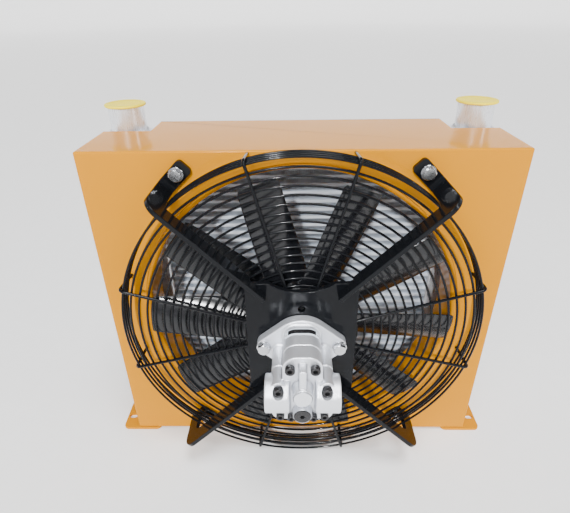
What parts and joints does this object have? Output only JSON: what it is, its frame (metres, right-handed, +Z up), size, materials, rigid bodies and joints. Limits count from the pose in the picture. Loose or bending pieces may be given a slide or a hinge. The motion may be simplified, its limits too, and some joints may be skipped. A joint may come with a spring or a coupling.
{
  "type": "hydraulic oil cooler",
  "caption": "Air-blast oil cooler: sheet-metal cowl over a bar-and-plate core, with a guarded fan on a flange-mounted hydraulic gear motor and two capped ports on top.",
  "frame": {"origin": "below the middle of the bounding box, on the surface that the foot rails stand on", "axes": "+Z up, +X to the right seen from the fan side, fan and motor towards -Y, core at the back towards +Y"},
  "size_m": [0.658, 0.348, 0.56],
  "materials": {
    "orange_paint": "gloss powder coat",
    "black_paint": "gloss black",
    "black_plastic": "satin moulded plastic",
    "cast_aluminium": "fine cast",
    "core_aluminium": "mill finish, brazed and welded",
    "yellow_plastic": "soft moulded plastic",
    "zinc_steel": "bright zinc plated",
    "black_steel": "black oxide",
    "ground_steel": "ground",
    "bearing_metal": "machined",
    "seal_rubber": "matt"
  },
  "bodies": {
    "root": {"cowl": "orange_paint", "fan_ring": "orange_paint", "foot_left": "orange_paint", "foot_right": "orange_paint", "core_matrix": "core_aluminium", "core_bottom_bar": "core_aluminium", "core_top_bar": "core_aluminium", "core_tank_left": "core_aluminium", "core_tank_right": "core_aluminium", "core_bolt_left_bottom": "zinc_steel", "core_bolt_left_top": "zinc_steel", "core_bolt_right_bottom": "zinc_steel", "core_bolt_right_top": "zinc_steel", "port_tube_left": "core_aluminium", "port_tube_right": "core_aluminium", "wire_guard": "black_paint", "motor_plate": "black_paint", "arm_top_left": "black_paint", "arm_top_right": "black_paint", "arm_bottom_left": "black_paint", "arm_bottom_right": "black_paint", "arm_bolt_top_left": "zinc_steel", "arm_bolt_top_right": "zinc_steel", "arm_bolt_bottom_left": "zinc_steel", "arm_bolt_bottom_right": "zinc_steel", "motor_flange": "cast_aluminium", "gear_housing": "cast_aluminium", "rear_cover": "cast_aluminium", "motor_bolt_left": "zinc_steel", "motor_bolt_right": "zinc_steel", "cover_screw_1": "black_steel", "cover_screw_2": "black_steel", "cover_screw_3": "black_steel", "cover_screw_4": "black_steel", "cover_screw_5": "black_steel", "cover_screw_6": "black_steel", "cover_screw_7": "black_steel", "cover_screw_8": "black_steel", "cover_plug": "cast_aluminium", "relief_plug": "black_steel", "bearing_block_front": "bearing_metal", "bearing_block_rear": "bearing_metal", "shaft_seal": "seal_rubber"},
    "fan": {"drive_gear": "ground_steel", "fan_hub_front": "black_plastic", "fan_hub_back": "black_plastic", "shaft_nut": "zinc_steel", "fan_blade_1": "black_plastic", "fan_blade_2": "black_plastic", "fan_blade_3": "black_plastic", "fan_blade_4": "black_plastic", "fan_blade_5": "black_plastic", "fan_blade_6": "black_plastic", "fan_blade_7": "black_plastic", "fan_blade_8": "black_plastic", "fan_blade_9": "black_plastic", "fan_blade_10": "black_plastic"},
    "idler": {"idler_gear": "ground_steel"},
    "cap_left": {"port_cap_left": "yellow_plastic"},
    "cap_right": {"port_cap_right": "yellow_plastic"}
  },
  "joints": [
    {"name": "fan_spin", "type": "hinge", "parent": "root", "child": "fan", "pos_m": [0, -0.002, 0.267], "axis": [0, 1, 0], "continuous": true},
    {"name": "idler_spin", "type": "hinge", "parent": "root", "child": "idler", "pos_m": [0, -0.002, 0.231], "axis": [0, 1, 0], "continuous": true},
    {"name": "cap_left_pull", "type": "slide", "parent": "root", "child": "cap_left", "axis": [0, 0, 1], "range_m": [0, 0.03]},
    {"name": "cap_right_pull", "type": "slide", "parent": "root", "child": "cap_right", "axis": [0, 0, 1], "range_m": [0, 0.03]}
  ],
  "couplings": [
    {"joint": "idler_spin", "follows": "fan_spin", "ratio": -1}
  ]
}
